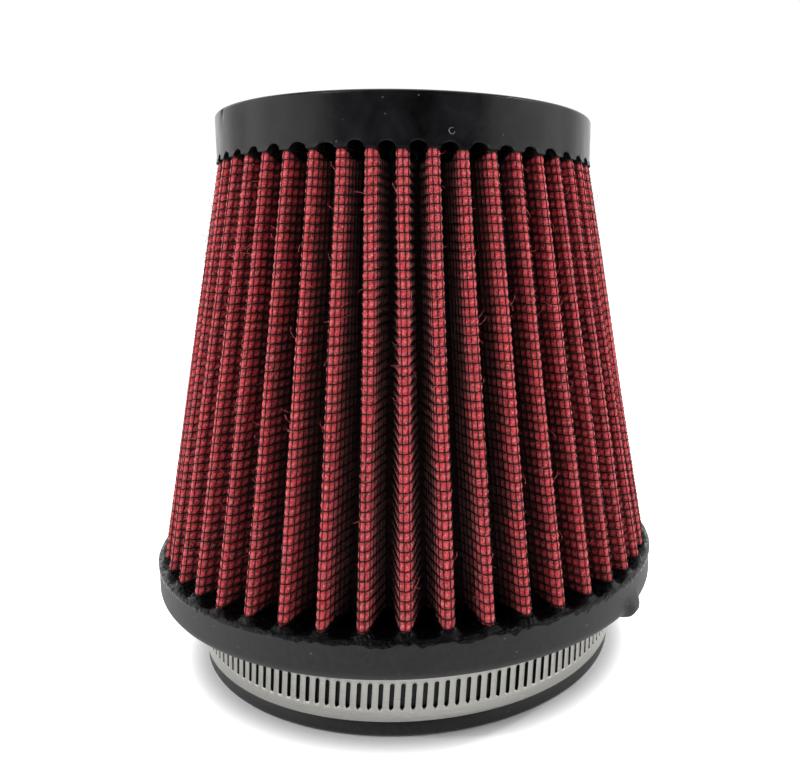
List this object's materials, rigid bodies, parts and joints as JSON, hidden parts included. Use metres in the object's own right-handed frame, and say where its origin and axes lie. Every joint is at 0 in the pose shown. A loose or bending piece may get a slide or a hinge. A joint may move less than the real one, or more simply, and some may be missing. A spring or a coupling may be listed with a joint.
{
  "type": "clamp-on conical air filter",
  "caption": "Conical pleated cotton air filter with a rubber end cap, a wire screen, a rubber base with a round neck, and a perforated worm-drive hose clamp.",
  "frame": {"origin": "centre of the neck's open end, on the plane that the filter stands on", "axes": "+Z along the filter's axis from the neck to the end cap; the clamp's screw housing is at +Y, with its screw along X and its head towards +X"},
  "size_m": [0.1446, 0.1446, 0.1514],
  "materials": {
    "rubber": "satin",
    "potting": "gloss",
    "coated_screen": "satin",
    "red_cotton": "matte",
    "stainless": "satin",
    "zinc_steel": "satin"
  },
  "bodies": {
    "filter": {"top_cap": "rubber", "top_potting": "potting", "outer_screen": "coated_screen", "cotton_ply_1": "red_cotton", "cotton_ply_2": "red_cotton", "cotton_ply_3": "red_cotton", "cotton_ply_4": "red_cotton", "inner_screen": "coated_screen", "seam_clip": "zinc_steel", "base_flange": "rubber", "base_potting": "potting"},
    "clamp": {"clamp_band": "stainless", "housing_saddle": "stainless", "screw_housing": "stainless"},
    "tail": {"band_tail": "stainless"},
    "screw": {"worm_screw": "zinc_steel"}
  },
  "joints": [
    {"name": "clamp_swivel", "type": "hinge", "parent": "filter", "child": "clamp", "pos_m": [0, 0, 0.01065], "axis": [0, 0, 1], "continuous": true},
    {"name": "screw_turn", "type": "hinge", "parent": "clamp", "child": "screw", "pos_m": [0, 0.06605, 0.01065], "axis": [1, 0, 0], "range_deg": [-720, 1080]},
    {"name": "tail_slide", "type": "hinge", "parent": "clamp", "child": "tail", "pos_m": [0, 0, 0.01065], "axis": [0, 0, 1], "range_deg": [-4.8, 7.2]}
  ],
  "couplings": [
    {"joint": "tail_slide", "follows": "screw_turn", "ratio": 0.006494}
  ]
}
